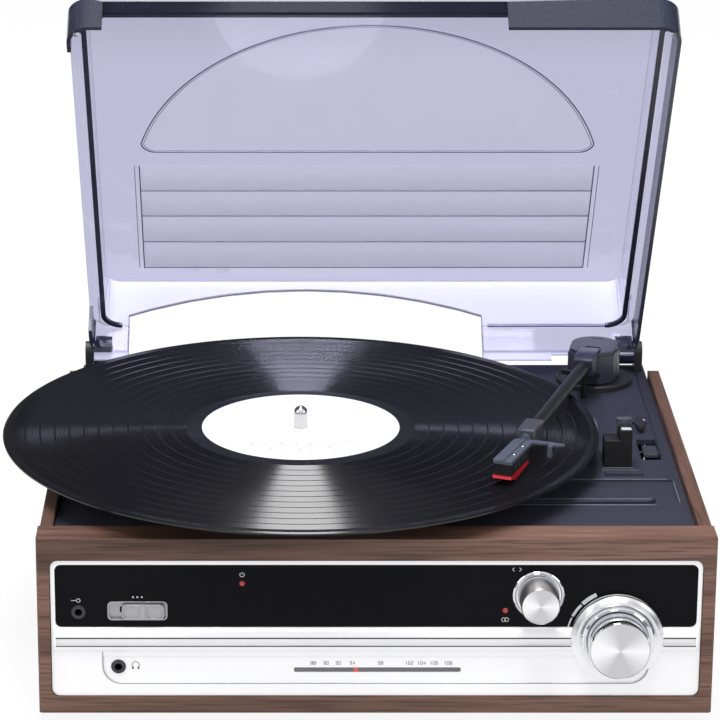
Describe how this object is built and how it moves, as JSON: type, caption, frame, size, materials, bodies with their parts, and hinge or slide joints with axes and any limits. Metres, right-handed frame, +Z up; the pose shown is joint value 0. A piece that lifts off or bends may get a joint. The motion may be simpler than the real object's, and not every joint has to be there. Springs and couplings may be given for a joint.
{
  "type": "stereo music centre",
  "caption": "Wooden table-top music centre: record player with hinged smoked cover and pivoting tonearm over a radio fascia with volume and tuning knobs, dial and sockets.",
  "frame": {"origin": "on the surface the feet stand on, under the middle of the whole set's width and depth with its cover open and its record on", "axes": "+X to the right when facing the fascia, +Y towards the back and the cover's hinge, +Z up"},
  "size_m": [0.3467, 0.3182, 0.3267],
  "materials": {
    "wood": "satin veneer",
    "fibre_board": "raw board",
    "black_plastic": "satin",
    "deck_plastic": "fine matt texture",
    "silver_plastic": "silver paint, satin",
    "gloss_black": "polished",
    "scale_grey": "satin",
    "bright_chrome": "polished",
    "red_lens": "clear red",
    "rubber": "matt",
    "steel": "satin",
    "brass": "turned",
    "board_green": "lacquered",
    "aluminium": "turned",
    "black_metal": "satin black",
    "vinyl": "grooved, glossy",
    "label_paper": "coated paper",
    "smoke_clear": "clear smoked plastic",
    "clear_rubber": "clear soft plastic",
    "smoke_dark": "dark smoked plastic",
    "red_plastic": "moulded red"
  },
  "bodies": {
    "cabinet": {"front_board": "wood", "side_board_left": "wood", "side_board_right": "wood", "bottom_panel": "fibre_board", "rear_shell": "black_plastic", "feet": "rubber", "case_screws": "steel", "deck": "deck_plastic", "fascia_frame": "silver_plastic", "fascia_window": "gloss_black", "dial_scale": "scale_grey", "volume_collar": "bright_chrome", "volume_bezel": "silver_plastic", "tuning_bezel": "bright_chrome", "switch_plate": "bright_chrome", "power_light": "red_lens", "stereo_light": "red_lens", "aux_socket": "black_plastic", "headphone_socket": "black_plastic", "line_sockets": "brass", "power_inlet": "black_plastic", "main_board": "board_green", "transformer": "steel", "volume_control": "steel", "tuning_capacitor": "aluminium", "motor": "steel", "bearing_bush": "brass", "arm_disc": "black_plastic", "arm_rest": "black_plastic", "speakers": "black_metal", "hinge_cheeks": "black_plastic", "drive_belt": "rubber"},
    "turntable": {"platter": "aluminium", "platter_mat": "rubber", "record": "vinyl", "record_label": "label_paper", "spindle": "steel"},
    "motor_spindle": {"motor_pulley": "brass"},
    "lid": {"dust_cover": "smoke_clear", "cover_bumpers": "clear_rubber", "hinge_knuckles": "smoke_dark"},
    "arm_yoke": {"arm_housing": "black_plastic"},
    "tonearm": {"arm_tube": "black_metal", "counterweight": "steel", "arm_collar": "black_plastic", "headshell": "black_metal", "cartridge": "black_plastic", "stylus_holder": "red_plastic"},
    "cue": {"cue_lever": "silver_plastic"},
    "lift": {"lift_bar": "black_metal"},
    "speed": {"speed_lever": "black_plastic"},
    "function": {"function_slide": "bright_chrome"},
    "volume": {"volume_knob": "silver_plastic"},
    "tuning": {"tuning_knob": "silver_plastic", "cord_drum": "black_plastic"},
    "pointer": {"dial_pointer": "red_plastic"}
  },
  "joints": [
    {"name": "platter_spin", "type": "hinge", "parent": "cabinet", "child": "turntable", "pos_m": [-0.02285, -0.0086, 0.1], "axis": [0, 0, -1], "continuous": true},
    {"name": "motor_spin", "type": "hinge", "parent": "cabinet", "child": "motor_spindle", "pos_m": [-0.08838, -0.05449, 0.09], "axis": [0, 0, -1], "continuous": true},
    {"name": "lid_hinge", "type": "hinge", "parent": "cabinet", "child": "lid", "pos_m": [0.01235, 0.133, 0.1018], "axis": [1, 0, 0], "range_deg": [0, 55]},
    {"name": "arm_swing", "type": "hinge", "parent": "cabinet", "child": "arm_yoke", "pos_m": [0.13685, 0.1121, 0.1], "axis": [0, 0, 1], "range_deg": [-21, 12]},
    {"name": "arm_lift", "type": "hinge", "parent": "arm_yoke", "child": "tonearm", "pos_m": [0.13685, 0.1121, 0.107], "axis": [-0.9617, 0.274, 0], "range_deg": [0, 1.6]},
    {"name": "cue_turn", "type": "hinge", "parent": "cabinet", "child": "cue", "pos_m": [0.15485, 0.0006, 0.0895], "axis": [-1, 0, 0], "range_deg": [0, 30]},
    {"name": "lift_rise", "type": "slide", "parent": "cabinet", "child": "lift", "axis": [0, 0, 1], "range_m": [0, 0.0009]},
    {"name": "speed_slide", "type": "slide", "parent": "cabinet", "child": "speed", "axis": [1, 0, 0], "range_m": [-0.003, 0.003]},
    {"name": "function_slide_move", "type": "slide", "parent": "cabinet", "child": "function", "axis": [1, 0, 0], "range_m": [-0.0055, 0]},
    {"name": "volume_turn", "type": "hinge", "parent": "cabinet", "child": "volume", "pos_m": [0.12705, -0.1394, 0.0449], "axis": [0, 1, 0], "range_deg": [-60, 240]},
    {"name": "tuning_turn", "type": "hinge", "parent": "cabinet", "child": "tuning", "pos_m": [0.08935, -0.1394, 0.06615], "axis": [0, 1, 0], "range_deg": [-120, 210]},
    {"name": "pointer_move", "type": "slide", "parent": "cabinet", "child": "pointer", "axis": [1, 0, 0], "range_m": [-0.028, 0.0485]}
  ],
  "couplings": [
    {"joint": "motor_spin", "follows": "platter_spin", "ratio": 15},
    {"joint": "cue_turn", "follows": "arm_lift", "ratio": 18.75},
    {"joint": "lift_rise", "follows": "arm_lift", "m_per_rad": 0.03},
    {"joint": "pointer_move", "follows": "tuning_turn", "m_per_rad": 0.013}
  ]
}
